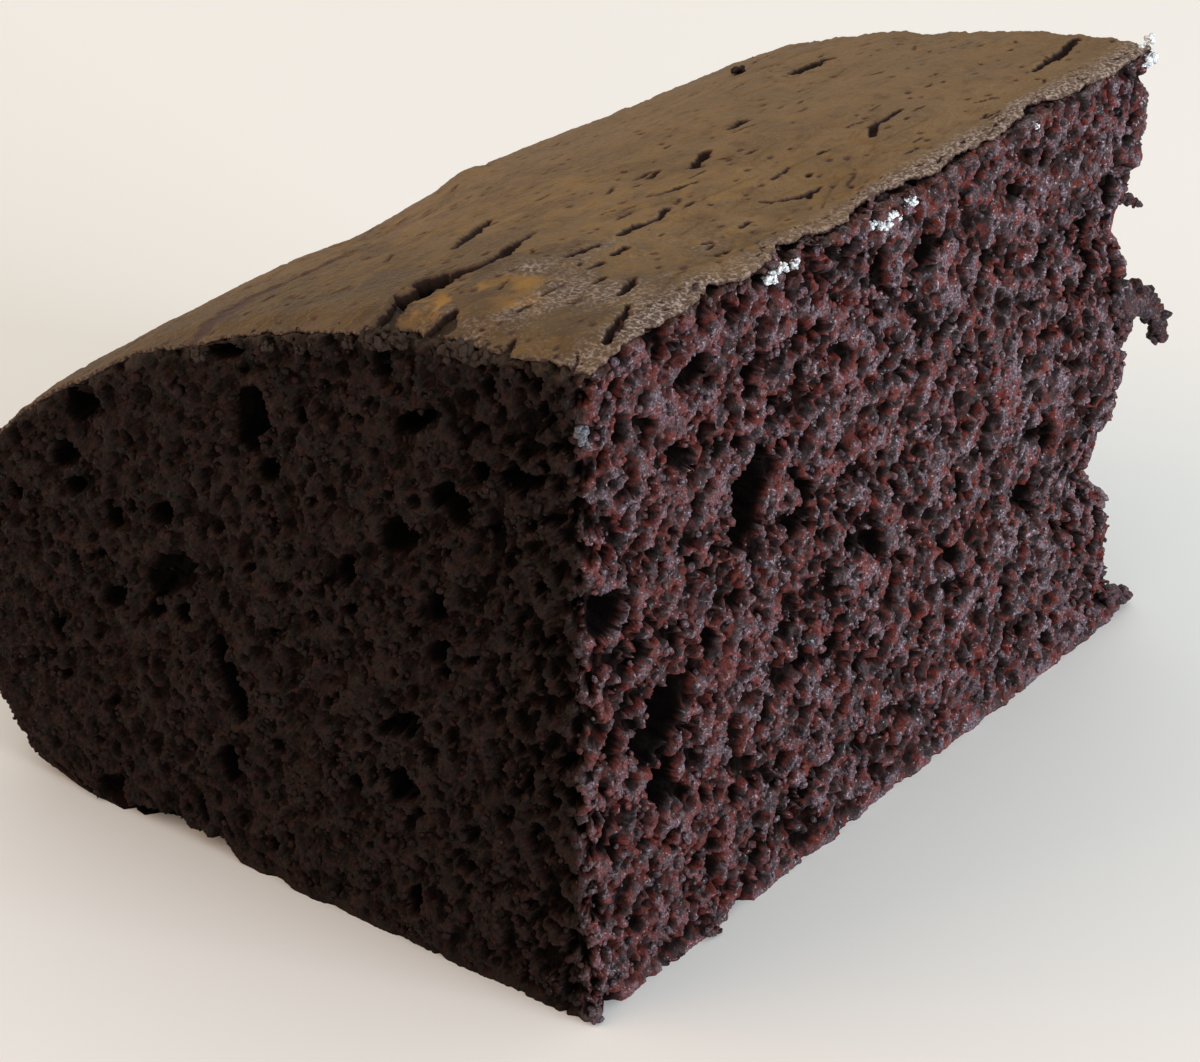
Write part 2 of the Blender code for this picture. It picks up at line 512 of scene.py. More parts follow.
# %% Directions out of the band
OUT_STEP = 0.1


def outward_table():
    """Level unit vectors out of the outline, averaged over 3 mm so that they
    fan out round the corners."""
    at = np.arange(0, ROUND_TRIP, OUT_STEP)
    x = np.interp(at, OUTLINE_AT, OUTLINE[:, 0])
    y = np.interp(at, OUTLINE_AT, OUTLINE[:, 1])
    out = np.stack([np.roll(y, -1) - y, x - np.roll(x, -1)], axis=1)
    reach = int(1.5 / OUT_STEP)
    out = sum(np.roll(out, shift, axis=0) for shift in range(-reach, reach + 1))
    return at, out / np.linalg.norm(out, axis=1, keepdims=True)


OUT_AT, OUT_VECTORS = outward_table()


def outward(distance):
    """The averaged outward vector at a place round the band."""
    at = np.mod(distance, ROUND_TRIP)
    x = np.interp(at, OUT_AT, OUT_VECTORS[:, 0], period=ROUND_TRIP)
    y = np.interp(at, OUT_AT, OUT_VECTORS[:, 1], period=ROUND_TRIP)
    return np.stack([x, y, np.zeros_like(x)], axis=-1)


def surface_normals(points):
    """Unit normals of a grid: the cross product of its two directions."""
    out = np.cross(np.gradient(points, axis=0), np.gradient(points, axis=1))
    return out / np.maximum(np.linalg.norm(out, axis=-1, keepdims=True), 1e-9)


# %% The relief of the walls
GRANULE = 0.34  # size of a crumb granule
FINE_GRANULE = 0.18
# Places round the band, how far the knife closed and flattened the crumb
# there, and how red it is.
PRESSED = ((0, 40, 49, 53, 75, 100, 113, 118), (0.50, 0.45, 0.15, 0.0, 0.10, 0.30, 0.20, 0.0))
REDNESS = ((0, 45, 51, 56, 68, 85, 113, 120), (0.12, 0.08, 0.08, 0.16, 0.12, 0.0, -0.04, 0.0))
STANDS_OUT = 0.3  # the band runs through the middle of the relief
UNDER_TIN_EDGE = 0.55  # how far the tin side goes in under the crust's edge


def shares_of_sides(distance):
    """How far a place belongs to the tin side and to the torn end, 0 to 1."""
    at = np.mod(distance, ROUND_TRIP)
    tin = smooth_step(TORN_CORNER - 0.5, TORN_CORNER + 1.5, at)
    tin = tin * (1 - smooth_step(ROUND_TRIP - 1.2, ROUND_TRIP, at))
    torn = smooth_step(FAR_CORNER - 1.5, FAR_CORNER + 2, at)
    torn = torn * (1 - smooth_step(TORN_CORNER - 2.5, TORN_CORNER, at))
    return tin, torn


def granules(place):
    """Bumps of two sizes: each cell is a dome, 0.45 - r^2, at a height of its
    own, with a furrow where it meets the next. Also gives their numbers."""
    rounds, beside, name = cells(place, GRANULE, 61)
    fine, _, fine_name = cells(place, FINE_GRANULE, 65)
    furrow = np.exp(-(((beside - rounds) / 0.16) ** 2))
    bump = 0.15 * (0.45 - rounds**2) + 0.15 * (name - 0.5) - 0.07 * furrow
    bump = bump + 0.07 * (0.5 - fine) + 0.06 * (fine_name - 0.5)
    return bump, 0.55 * name + 0.45 * fine_name


def wall_relief(distance, climb):
    """Band - outward * (pores + hollows) + slow swells + granules. Gives the
    points, how deep each lies, how red it is, and how near the crust."""
    place = band(distance, climb)
    at = np.mod(distance, ROUND_TRIP)
    over = np.clip((climb - 1) * 12, 0, 1)
    push = outward(distance) * (1 - over)[..., None] + np.array([0, 0, 1.0]) * over[..., None]
    tin, torn = shares_of_sides(distance)
    level = place[..., 2] + np.maximum(climb - 1, 0) * SHOULDER_RUN
    firm = 0.35 + 0.65 * smooth_step(0, 1.3, level)  # the foot baked firm
    pressed = np.interp(at, *PRESSED)
    depth = pore_depth(distance, level) * (1 - 0.8 * tin) * (1 - pressed) * firm
    depth = (depth + hollow_depth(at, level)) * (1 - 0.5 * over)
    swell = 0.22 * layered(place, 5.0, 51) + 0.27 * layered(place, 1.9, 52, 2)
    swell = swell * (1 - 0.6 * tin) + torn * 1.3 * (layered(place, 7.0, 53, 4, 0.6) - 0.25)
    goes_under = UNDER_TIN_EDGE * tin * smooth_step(TIN_SIDE - 3, TIN_SIDE - 1, level)
    stands = (swell + STANDS_OUT) * (1 - over) - goes_under
    place = place + push * (stands - depth)[..., None]
    bump, tint = granules(place)
    bump = bump * (1 - 0.8 * tin) * (1 - 0.6 * over) * (1 - 0.4 * pressed) * firm
    place = place + surface_normals(place) * bump[..., None]
    below = band(distance, np.ones_like(climb))[..., 2] * (1 - np.minimum(climb, 1))
    baked = smooth_step(0.85, 0.15, below + 0.5 * noise(place, 1.1, 54))
    return place, depth - bump, tint + np.interp(at, *REDNESS), baked


# %% [markdown]
# ## From arrays to meshes
#
# Each piece is a grid of points, two triangles to a square. The grid's edge
# loop is carried to one point in the heart of the cake, so that every piece
# is a closed solid wedge and neighbours share their edges exactly. The same
# two parameters give the piece its texture layout.

# %% Closed pieces from grids
HEART = np.array([0.0, 2.0, 14.0])
CONE_STRIP = 0.03  # share of the texture layout kept for the hidden faces


def grid_triangles(columns, rows):
    """Corner numbers of two triangles for each square of a grid."""
    number = np.arange(columns * rows).reshape(columns, rows)
    a, b = number[:-1, :-1].ravel(), number[1:, :-1].ravel()
    c, d = number[1:, 1:].ravel(), number[:-1, 1:].ravel()
    return np.concatenate([np.stack([a, b, c], 1), np.stack([a, c, d], 1)])


def edge_loop(columns, rows):
    """Corner numbers round the edge of a grid, in the sense of its faces."""
    number = np.arange(columns * rows).reshape(columns, rows)
    sides = (number[:-1, 0], number[-1, :-1], number[:0:-1, -1], number[0, :0:-1])
    return np.concatenate(sides)


def make_piece(name, points, triangles, layout, paints, smooth_count=None):
    """Puts points in mm, triangles, the layout of their corners and the named
    values of the points into a new mesh object. All triangles are smooth, or
    only the first few, so that hidden ones don't bend the light at a seam."""
    mesh = bpy.data.meshes.new(name)
    mesh.vertices.add(len(points))
    mesh.vertices.foreach_set("co", np.asarray(points * MM, np.float32).ravel())
    mesh.loops.add(triangles.size)
    mesh.loops.foreach_set("vertex_index", triangles.ravel().astype(np.int32))
    mesh.polygons.add(len(triangles))
    mesh.polygons.foreach_set("loop_start", np.arange(0, triangles.size, 3, dtype=np.int32))
    mesh.update(calc_edges=True)
    smooth = np.arange(len(triangles)) < (smooth_count or len(triangles))
    mesh.polygons.foreach_set("use_smooth", smooth)
    mesh.uv_layers.new(name="OFBake")
    mesh.uv_layers["OFBake"].data.foreach_set("uv", layout.astype(np.float32).ravel())
    for paint, values in paints.items():
        channel = mesh.attributes.new(paint, "FLOAT", "POINT")
        channel.data.foreach_set("value", np.asarray(values, np.float32).ravel())
    piece = bpy.data.objects.new(name, mesh)
    bpy.context.scene.collection.objects.link(piece)
    print(name, "has", len(triangles), "triangles")
    return piece


def wedge(name, grid, paints):
    """A grid closed by a cone of triangles from its edge to the heart."""
    columns, rows = grid.shape[:2]
    loop = edge_loop(columns, rows)
    after = np.roll(loop, -1)
    heart = np.full(len(loop), columns * rows)
    triangles = grid_triangles(columns, rows)
    cone = np.stack([after, loop, heart], axis=1)
    share = np.stack(
        np.meshgrid(np.linspace(0, 1, columns), np.linspace(0, 1, rows), indexing="ij"),
        axis=-1,
    ).reshape(-1, 2)
    share[:, 1] = CONE_STRIP + (1 - CONE_STRIP) * share[:, 1]
    turn = np.linspace(0, 1, len(loop) + 1)
    strip = 0.8 * CONE_STRIP
    cone_layout = np.stack(
        [
            np.stack([turn[1:], np.full(len(loop), strip)], 1),
            np.stack([turn[:-1], np.full(len(loop), strip)], 1),
            np.stack([(turn[1:] + turn[:-1]) / 2, np.zeros(len(loop))], 1),
        ],
        axis=1,
    )
    layout = np.concatenate([share[triangles], cone_layout])
    points = np.concatenate([grid.reshape(-1, 3), HEART[None]])
    values = {key: np.append(grid_values.ravel(), 0) for key, grid_values in paints.items()}
    every = np.concatenate([triangles, cone])
    return make_piece(name, points, every, layout, values, len(triangles))


# %% Six wall pieces
WALL_PIECES = {  # name: start and end round the band, columns, rows
    "crumb_front_left": (0.0, 25.0, 250, 330),
    "crumb_front_right": (25.0, 51.0, 272, 346),
    "crumb_inner_near": (51.0, 81.0, 272, 346),
    "crumb_inner_far": (81.0, FAR_CORNER, 284, 328),
    "crumb_torn_end": (FAR_CORNER, TORN_CORNER, 285, 320),
    "crumb_tin_side": (TORN_CORNER, ROUND_TRIP, 330, 170),
}
SHOULDER_ROWS = 18


def wall_grid(start, end, columns, rows):
    """The relief on a grid with one spare column at each end for the normals,
    which is cut off again, and with its foot flat on the table."""
    step = (end - start) / columns
    distance = start + step * np.arange(-1, columns + 2)
    climb = np.concatenate(
        [np.linspace(0, 1, rows + 1), 1 + np.linspace(0, 1, SHOULDER_ROWS + 1)[1:]]
    )
    distance, climb = np.meshgrid(distance, climb, indexing="ij")
    place, depth, tint, baked = wall_relief(distance, climb)
    shares = np.percentile(depth, range(10, 100, 20)).round(2)
    print("depth of the crumb at 10, 30, 50, 70 and 90 per cent:", shares)
    place[..., 2] = np.maximum(place[..., 2], 0)
    place[:, 0, 2] = 0
    return place[1:-1], depth[1:-1], tint[1:-1], baked[1:-1], distance[1:-1]


def wetness_and_light(distance):
    """How wet the crumb is, and with it how lit its side is painted: most on the
    inner cut, which faces the window lamp, where it grows by a third towards the
    far corner, less on the torn end, and none on the front cut, which is painted
    as in shade, or on the tin side."""
    cut = smooth_step(0.3, 0.8, outward(distance)[..., 0])
    return cut * (1 + 0.33 * smooth_step(60, 86, distance)) + 0.4 * shares_of_sides(distance)[1]


walls = {}
crumb_pieces = []
foot_ring = []
for name, (start, end, columns, rows) in WALL_PIECES.items():
    grid, depth, tint, baked, distance = wall_grid(start, end, columns, rows)
    # Painted light as well as wetness: this value makes the inner cut lighter, as lit, and the front cut
    # darker, as in shade.
    wet_and_lit = wetness_and_light(distance)
    walls[name] = (grid, depth, wet_and_lit)
    foot_ring.append(grid[:-1, 0])
    skin = shares_of_sides(distance)[0]
    paints = {"deep": depth, "tint": tint, "skin": skin, "wet_and_lit": wet_and_lit, "baked": baked}
    crumb_pieces.append(wedge(name, grid, paints))

# %% [markdown]
# ## The base
#
# The underside baked flat against the tin. Its edge is the foot of the wall
# pieces themselves, carried inwards in a few rings, so that it closes the cake
# without a gap however ragged the foot is.

# %% A disc of rings
BASE_RINGS = (1.0, 0.93, 0.8, 0.6, 0.35, 0.12)

foot = np.concatenate(foot_ring)
middle = np.append(foot[:, :2].mean(axis=0), 0)
rings = [middle + (np.append(foot, foot[:1], axis=0) - middle) * share for share in BASE_RINGS]
base_grid = np.stack(rings, axis=1)[::-1]
base_grid[..., 2] = 0
zero = np.zeros(base_grid.shape[:2])
paints = {"deep": zero, "tint": zero, "skin": zero + 1, "wet_and_lit": zero, "baked": zero}
crumb_pieces.append(wedge("crumb_base", base_grid, paints))

# %% [markdown]
# ## The crust
#
# The top dried in the oven to a thin skin that tore as the cake rose. It is
# one sheet over the dome, with its edge rolled under so that its thickness
# shows where the knife went through. The sheet's first parameter runs over
# the dome by true length, from the inner cut down to the tin side, so that
# the grid stays even where the dome gets steep.

# %% The smooth sheet
CRUST_COLUMNS, CRUST_ROWS = 414, 434
ROLL_STEPS = 8
ROLL = 0.14  # radius of the rolled edge, half the crust's thickness
TUCK = 0.8  # how far the rolled edge runs back underneath

quarter = np.linspace(0, np.pi / 2, 3000)
ARC_ACROSS = np.sin(quarter) ** (2 / DOME_POWER)
arc_steps = np.hypot(np.diff(ARC_ACROSS * WIDTH), np.diff(dome(ARC_ACROSS, 0.5)))
ARC_LENGTH = np.concatenate([[0], np.cumsum(arc_steps)])
CRUST_RUN = ARC_LENGTH[-1]


def sheet(over, along):
    """The top of the dome: over is the length over it as a share, along the
    share of the way to the torn end. Its edge keeps the roll inside the box."""
    across = np.interp(over * CRUST_RUN, ARC_LENGTH, ARC_ACROSS)
    height = dome(across, along)
    x = high[0] - ROLL - (tin_line(height) - 2 * ROLL) * across
    y = low[1] + ROLL + (torn_line(across, height) - 2 * ROLL) * along
    return np.stack([x, y, height], axis=-1)


# %% [markdown]
# ## Cracks, dashes and pits
#
# The torn places of the crust follow the way the batter was spread, along the
# piece. The large ones are placed one by one as short lines with a width at
# each point; a crowd of small dashes is drawn at random in the same direction.

# %% Lines scored into the crust
# Each crack: depth, height of its lifted left lip, then x, y and half-width.
CRACKS = (
    (2.0, 0.22, ((10.4, -32.0, 0.4), (9.8, -29.2, 0.5), (9.5, -27.4, 0.85), (9.3, -25.0, 0.95))),
    (2.0, 0.22, ((9.3, -25.0, 0.95), (9.8, -23.3, 0.45))),
    (0.6, 0.12, ((9.8, -23.3, 0.3), (10.6, -22.2, 0.4), (10.4, -20.4, 0.5), (9.8, -18.2, 0.35))),
    (0.35, 0.08, ((9.8, -18.2, 0.3), (9.4, -15.8, 0.1))),
    (0.38, 0.12, ((5.2, -18.4, 0.22), (4.2, -15.6, 0.54), (3.0, -12.4, 0.18))),
    (1.8, 0.10, ((13.4, -32.0, 0.35), (14.4, -31.0, 0.6), (14.2, -29.8, 0.4), (13.9, -28.8, 0.1))),
    (0.91, 0.05, ((25.1, -29.1, 0.24), (24.3, -27.1, 0.32), (23.3, -24.7, 0.1))),
    (0.59, 0.00, ((21.9, -23.8, 0.14), (21.5, -22.4, 0.36), (20.8, -20.8, 0.09))),
    (0.45, 0.05, ((15.0, -20.0, 0.11), (15.1, -18.6, 0.29), (15.3, -17.0, 0.18))),
    (0.27, 0.00, ((12.8, -20.6, 0.07), (12.8, -19.6, 0.18))),
    (0.41, 0.05, ((17.2, -18.2, 0.25), (17.1, -16.8, 0.29))),
    (0.32, 0.00, ((17.3, -20.8, 0.18), (17.4, -19.6, 0.25))),
    (0.27, 0.00, ((19.1, -22.6, 0.11), (19.0, -21.5, 0.22))),
    (0.41, 0.05, ((20.0, -32.0, 0.29), (19.6, -30.6, 0.11))),
    (0.27, 0.00, ((17.8, -28.2, 0.09), (17.8, -27.0, 0.16))),
    (0.41, 0.08, ((15.1, -14.8, 0.25), (14.9, -12.9, 0.29), (15.2, -11.2, 0.14), (14.4, -9.2, 0.25))),
    (0.41, 0.05, ((12.1, -7.2, 0.09), (12.6, -5.7, 0.22), (13.0, -4.2, 0.07))),
    (0.45, 0.00, ((9.2, -3.9, 0.22), (9.0, -2.8, 0.25))),
    (0.63, 0.00, ((11.0, -1.8, 0.29), (10.1, 0.8, 0.43))),
    (1.0, 0.05, ((4.4, 18.8, 0.35), (4.0, 20.8, 0.77), (4.2, 23.4, 0.35))),
    (0.5, 0.00, ((8.5, 6.0, 0.29), (8.3, 7.4, 0.36))),
    (0.41, 0.10, ((18.6, -5.2, 0.09), (19.6, -3.9, 0.16), (20.3, -2.6, 0.22), (20.3, -1.2, 0.07))),
    (0.27, 0.00, ((17.1, -1.8, 0.11), (16.8, 0.4, 0.14))),
    (0.5, 0.05, ((18.9, 6.6, 0.18), (17.8, 8.3, 0.32), (17.6, 11.8, 0.14))),
    (0.6, 0.10, ((21.4, 21.8, 0.14), (21.0, 25.6, 0.35), (20.4, 28.8, 0.35))),
    (0.12, 0.05, ((-4.6, -31.8, 0.36), (-5.4, -28.2, 0.72), (-6.0, -24.4, 0.63))),
    (0.12, 0.05, ((-6.0, -24.4, 0.63), (-5.0, -20.5, 0.5), (-4.8, -16.4, 0.23))),
    (0.27, 0.00, ((20.5, -9.9, 0.13), (20.3, -8.7, 0.16))),
)
DASHES = 260


def random_dashes(count, seed):
    """Short cracks, 0.3 to 2 mm long, within about 25 degrees of along, and
    more of them where the batter was deepest."""
    draw = np.random.default_rng(seed)
    dashes = []
    for _ in range(count):
        x = high[0] - 0.5 - (WIDTH - 2) * draw.random() ** 1.4
        y = draw.uniform(low[1], high[1] - 3)
        half = 0.15 + 0.85 * draw.random() ** 2.5
        lean = np.radians(draw.normal(0, 20))
        width = draw.uniform(0.07, 0.18)
        ends = [(x - sign * half * np.sin(lean), y + sign * half * np.cos(lean)) for sign in (-1, 1)]
        line = ((*ends[0], 0.05), (x, y, width), (*ends[1], 0.05))
        dashes.append((draw.uniform(0.1, 0.4), 0.0, line))
    return dashes


def scored(x, y, cracks):
    """Depth and lip height of all cracks: each sinks steeply where the
    distance to its line is under its half-width, and its lip is a bell to the
    left of it."""
    spot = np.stack([x, y], axis=-1)
    ragged = 0.35 * noise(spot, 0.55, 71) + 0.25 * noise(spot, 0.28, 72)
    depth, lip = np.zeros(x.shape), np.zeros(x.shape)
    for deep, lift, line in cracks:
        for (x0, y0, w0), (x1, y1, w1) in zip(line[:-1], line[1:]):
            run = np.array([x1 - x0, y1 - y0])
            share = ((x - x0) * run[0] + (y - y0) * run[1]) / (run @ run)
            share = np.clip(share, 0, 1)
            right, up = x - x0 - share * run[0], y - y0 - share * run[1]
            half = w0 + (w1 - w0) * share
            away = np.hypot(right, up) / half + ragged
            depth = np.maximum(depth, deep * (1 - smooth_step(0.85, 1.10, away)))
            beside = np.exp(-(((right + half + 0.3) / 0.3) ** 2) - (up / 0.5) ** 2)
            lip = np.maximum(lip, lift * beside)
    return depth, lip


# %% [markdown]
# ## The skin of the crust
#
# Close up the crust is leather: low swells, fine wrinkles drawn out along the
# piece, shallow creases where the skin folded, and grainy patches where sugar
# dried on it by the inner cut. Each is one noise in millimetres, and they are
# simply added.

# %% Relief of the sheet
def crust_relief(place):
    """Height added to the sheet, the depth of its cracks, and its graininess."""
    x, y = place[..., 0], place[..., 1]
    stretched = place * np.array([1, 0.7, 1])
    wrinkles = 0.07 * (1 - 2 * np.abs(layered(stretched, 1.5, 83)))
    streaks = 0.025 * noise(stretched, 0.35, 86)
    first, second, _ = cells(place * np.array([1, 0.45, 1]), 2.6, 87)
    creases = -0.12 * (1 - smooth_step(0, 0.12, second - first))
    creases = creases * smooth_step(0.0, 0.5, noise(place, 9.0, 90))
    first, _, name = cells(place * np.array([1, 0.7, 1]), 0.95, 88)
    pits = -0.16 * smooth_step(0.32, 0.10, first) * (name > 0.62 + 0.2 * smooth_step(-10, 15, y))
    edge = smooth_step(3.2, 0.5, high[0] - x)
    near = smooth_step(17.0, 5.0, high[0] - x) * smooth_step(-8, -20, y)
    grainy = smooth_step(-0.1, 0.35, layered(place * np.array([1, 0.6, 1]), 2.6, 91))
    grainy = np.clip(edge * (0.5 + 0.5 * grainy) + 0.6 * near * grainy + spots(x, y, SUGARY_GLITTER), 0, 1)
    round_grain, _, _ = cells(place, 0.42, 92)
    fine_grain, _, _ = cells(place, 0.22, 94)
    grain = (0.05 + 0.14 * grainy) * (0.6 - round_grain) + (0.03 + 0.05 * grainy) * (0.5 - fine_grain)
    depth, lip = scored(x, y, list(CRACKS) + random_dashes(DASHES, 95))
    return wrinkles + streaks + creases + pits + grain + lip - depth, depth - 0.8 * pits, grainy


# Golden flakes by the large crack, and sugary spots that are grainier and get
# painted glitter: strength, x, y and reach.
GOLDEN = (
    (1.0, 12.0, -29.0, 1.5),
    (1.0, 12.6, -26.4, 1.5),
    (0.7, 15.6, -24.4, 1.5),
    (0.8, 17.5, -27.0, 1.3),
)
SUGARY_GLITTER = (
    (1.0, 25.4, -26.4, 1.3),
    (0.9, 25.3, -23.6, 1.5),
    (0.8, 14.3, -22.6, 0.9),
    (0.8, 21.0, -23.5, 2.0),
)


def spots(x, y, rows):
    """A sum of round bells on the crust, no more than 1."""
    return np.minimum(bells(rows, x, y, lambda s: s[3], lambda s: s[3]), 1)


# How far the crust is broken back: depth, place along the edge, reach.
FRONT_BITES = ((0.6, 0.6, 1.6), (1.0, 11.8, 1.5), (0.6, 15.8, 1.2))
INNER_BITES = (
    (0.7, -20.0, 1.6),
    (1.1, -10.5, 3.0),
    (1.4, -2.0, 4.0),
    (0.7, 6.5, 2.5),
    (0.9, 16.0, 4.0),
)


def edge_inset(run, seed, chips, bites=()):
    """How far the edge is broken back: ragged noise, deeper chips where slow
    noise passes a level, and the listed bites."""
    line = np.stack([run, np.zeros_like(run)], axis=-1)
    deep = np.maximum(layered(line, 2.4, seed + 3) - 0.12, 0)
    placed = sum(depth * np.exp(-(((run - at) / reach) ** 2)) for depth, at, reach in bites)
    return 0.06 + 0.26 * layered(line, 0.9, seed) + chips * deep + placed


def rolled(points, normals, steps):
    """Adds an edge to all four sides of a sheet: half a circle from the
    surface round to the underside, and then a tuck back below it."""
    columns, rows = points.shape[:2]
    column = np.arange(-steps, columns + steps)
    row = np.arange(-steps, rows + steps)
    past_u = np.maximum(np.maximum(-column, column - columns + 1), 0)[:, None, None]
    past_v = np.maximum(np.maximum(-row, row - rows + 1), 0)[None, :, None]
    near = np.ix_(np.clip(column, 0, columns - 1), np.clip(row, 0, rows - 1))
    step_u, step_v = np.gradient(points, axis=0), np.gradient(points, axis=1)
    out_u = np.where((column < 0)[:, None, None], -1, 1) * step_u[near]
    out_v = np.where((row < 0)[None, :, None], -1, 1) * step_v[near]
    out = out_u * past_u + out_v * past_v
    out = out / np.maximum(np.linalg.norm(out, axis=-1, keepdims=True), 1e-9)
    share = np.maximum(past_u, past_v) / steps
    turn = np.pi * np.minimum(share / 0.75, 1)
    back = TUCK * np.maximum(share / 0.75 - 1, 0) * 3
    grown = points[near] + out * (ROLL * np.sin(turn) - back)
    return grown - normals[near] * ROLL * (1 - np.cos(turn)), share[..., 0]


# %% The crust, in two pieces
over, along = np.meshgrid(
    np.linspace(0, 1, CRUST_COLUMNS), np.linspace(0, 1, CRUST_ROWS), indexing="ij"
)
plain = sheet(over, along)
relief, crack_depth, grainy = crust_relief(plain)
top_normals = -surface_normals(plain)
crust = plain + top_normals * relief[..., None]
from_inner, from_tin = over * CRUST_RUN, (1 - over) * CRUST_RUN
from_front, from_torn = along * LENGTH, (1 - along) * LENGTH
crust[..., 1] += edge_inset(plain[..., 0], 101, 0.8, FRONT_BITES) * smooth_step(3.0, 0, from_front)
crust[..., 1] -= edge_inset(plain[..., 0], 106, 1.2) * smooth_step(3.0, 0, from_torn)
crust[..., 0] -= edge_inset(plain[..., 1], 111, 1.0, INNER_BITES) * smooth_step(3.5, 0, from_inner)
crust[..., 2] += edge_inset(plain[..., 1], 116, 0.8) * smooth_step(2.0, 0, from_tin)
crust, past_edge = rolled(crust, top_normals, ROLL_STEPS)
spread = [(ROLL_STEPS, ROLL_STEPS)] * 2
golden = spots(plain[..., 0], plain[..., 1], GOLDEN)
darker = smooth_step(13, 1, from_tin + 3 * noise(plain, 5.0, 97))
crack_depth, grainy, golden, darker = (
    np.pad(values, spread, mode="edge") for values in (crack_depth, grainy, golden, darker)
)
rim_grain, _, _ = cells(crust, 0.4, 121)
rim_bump = 0.12 * (0.6 - rim_grain) * smooth_step(0, 0.2, past_edge)
crust = crust - surface_normals(crust) * rim_bump[..., None]
crust = crust[:, ::-1]  # turned so that the faces point outwards

half_way = crust.shape[0] // 2
crust_paints = {"deep": crack_depth, "rim": past_edge, "grainy": grainy}
crust_paints.update(golden=golden, darker=darker)
crust_pieces = []
for name, part in (("crust_crown", slice(0, half_way + 1)), ("crust_shoulder", slice(half_way, None))):
    paints = {key: values[part, ::-1] for key, values in crust_paints.items()}
    crust_pieces.append(wedge(name, crust[part], paints))

# %% [markdown]
# ## Loose crumbs
#
# The knife leaves crumbs sitting on every cut. A particle system could strew
# them, but plain arrays keep them exact: one small lumpy ball of 48 triangles
# is stretched, turned and set down on thousands of places drawn from the wall
# points, more of them where a point stands proud.

# %% A ball for each crumb
BALL_AROUND, BALL_RINGS = 6, 4
CRUMB_SPOTS = {  # how many crumbs on each wall piece
    "crumb_front_left": 420,
    "crumb_front_right": 900,
    "crumb_inner_near": 1050,
    "crumb_inner_far": 620,
    "crumb_torn_end": 560,
    "crumb_tin_side": 60,
}


def unit_ball(around, ring_count):
    """Points of a ball: a pole, rings of cos and sin, and a pole; its
    triangles; and the shares round and up of each triangle corner."""
    turn = np.linspace(0, 2 * np.pi, around, endpoint=False)
    fall = np.linspace(0, np.pi, ring_count + 2)[1:-1]
    fall, turn = np.meshgrid(fall, turn, indexing="ij")
    ring = np.stack([np.cos(turn) * np.sin(fall), np.sin(turn) * np.sin(fall), np.cos(fall)], -1)
    points = np.concatenate([[[0, 0, 1.0]], ring.reshape(-1, 3), [[0, 0, -1.0]]])
    triangles, shares = [], []
    for side in range(around):
        after = (side + 1) % around
        column = [1 + ring_number * around + side for ring_number in range(ring_count)]
        beside = [1 + ring_number * around + after for ring_number in range(ring_count)]
        left, right = side / around, (side + 1) / around
        step = 1 / (ring_count + 1)
        triangles.append((0, column[0], beside[0]))
        shares.append(((left, 0), (left, step), (right, step)))
        for k in range(ring_count - 1):
            upper, lower = step * (k + 1), step * (k + 2)
            triangles.append((column[k], column[k + 1], beside[k + 1]))
            shares.append(((left, upper), (left, lower), (right, lower)))
            triangles.append((column[k], beside[k + 1], beside[k]))
            shares.append(((left, upper), (right, lower), (right, upper)))
        triangles.append((column[-1], len(points) - 1, beside[-1]))
        shares.append(((left, 1 - step), (left, 1), (right, 1 - step)))
    return points, np.array(triangles), np.array(shares)


def turned(draw, count):
    """Random rotation matrices, from random quaternions."""
    w, x, y, z = draw.normal(size=(4, count)) + 1e-6
    size = np.sqrt(w * w + x * x + y * y + z * z)
    w, x, y, z = w / size, x / size, y / size, z / size
    rows = [
        [1 - 2 * (y * y + z * z), 2 * (x * y - w * z), 2 * (x * z + w * y)],
        [2 * (x * y + w * z), 1 - 2 * (x * x + z * z), 2 * (y * z - w * x)],
        [2 * (x * z - w * y), 2 * (y * z + w * x), 1 - 2 * (x * x + y * y)],
    ]
    return np.moveaxis(np.array(rows), -1, 0)


def strew(name, centres, radii, wet_and_lit, seed, baked=0.0, lumps=0.42):
    """One joined mesh of lumpy balls: unit ball * radius * stretch, turned,
    and pushed in and out by noise."""
    draw = np.random.default_rng(seed)
    ball, triangles, shares = unit_ball(BALL_AROUND, BALL_RINGS)
    count = len(centres)
    stretch = draw.uniform(0.7, 1.35, (count, 1, 3))
    points = np.einsum("nij,nkj->nki", turned(draw, count), ball[None] * stretch)
    points = centres[:, None] + points * radii[:, None, None]
    lump = noise(points, radii.mean() * 1.1, seed) * lumps
    points = centres[:, None] + (points - centres[:, None]) * (1 + lump[..., None])
    offset = (np.arange(count) * len(ball))[:, None, None]
    side = int(np.ceil(np.sqrt(count)))
    number = np.arange(count)
    corner = np.stack([number % side, number // side], axis=1)[:, None, None]
    layout = (corner + 0.05 + 0.9 * shares[None]) / side
    tint = np.repeat(draw.random(count), len(ball))
    flat = np.zeros(count * len(ball))
    paints = {"deep": flat, "tint": tint, "skin": flat, "baked": flat + baked}
    paints["wet_and_lit"] = np.repeat(wet_and_lit, len(ball))
    triangles = (triangles[None] + offset).reshape(-1, 3)
    return make_piece(name, points.reshape(-1, 3), triangles, layout.reshape(-1, 3, 2), paints)


# %% Crumbs strewn on the cuts
UNDER_ROWS = 14  # rows of each wall that lie hidden under the crust


